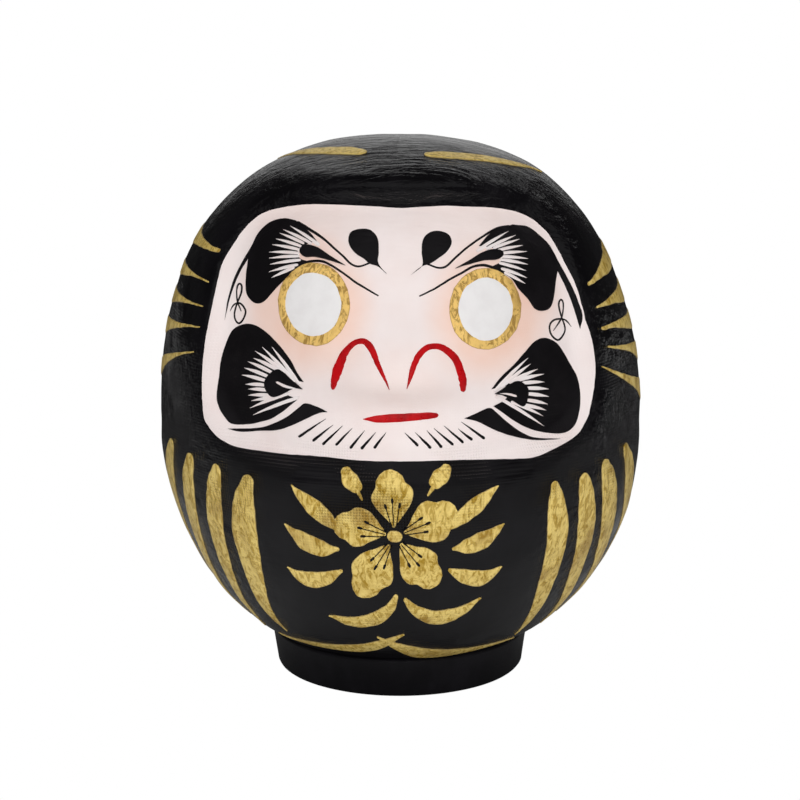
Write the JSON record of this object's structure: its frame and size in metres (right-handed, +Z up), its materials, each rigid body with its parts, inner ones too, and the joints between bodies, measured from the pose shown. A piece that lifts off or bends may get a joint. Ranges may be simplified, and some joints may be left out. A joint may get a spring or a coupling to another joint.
{
  "type": "daruma doll",
  "caption": "Round hollow papier-mache doll with a recessed face, on a weighted clay foot that keeps it upright.",
  "frame": {"origin": "middle of the underside, on the plane the doll stands on", "axes": "+Z up; -Y is the way the face looks; +X is towards the doll's own left hand, the viewer's right"},
  "size_m": [0.108, 0.1078, 0.12],
  "materials": {
    "black_lacquer": "moulded paper pulp under a glossy black coat, with brush marks and the imprint of the former's mesh",
    "moulded_paper": "bare grey-brown moulded paper pulp, matt and fibrous",
    "lacquered_clay": "dried clay under the same black coat, slightly duller than the body",
    "base_paper": "plain natural paper, matt",
    "chalk_white": "matt shell white brushed on the face, with an orange blush round the eyes; paint only, no solid of its own",
    "brush_black": "soft black paint of the brows and beard; paint only, no solid of its own",
    "red_paint": "satin red paint of the nostrils and mouth; paint only, no solid of its own",
    "gold_paint": "bronze-powder gold brushed over the black, streaked and a little raised; paint only, no solid of its own"
  },
  "bodies": {
    "root": {"front_shell": "black_lacquer", "back_shell": "black_lacquer", "lap_collar": "moulded_paper", "clay_foot": "lacquered_clay", "base_paper": "base_paper"}
  },
  "joints": []
}
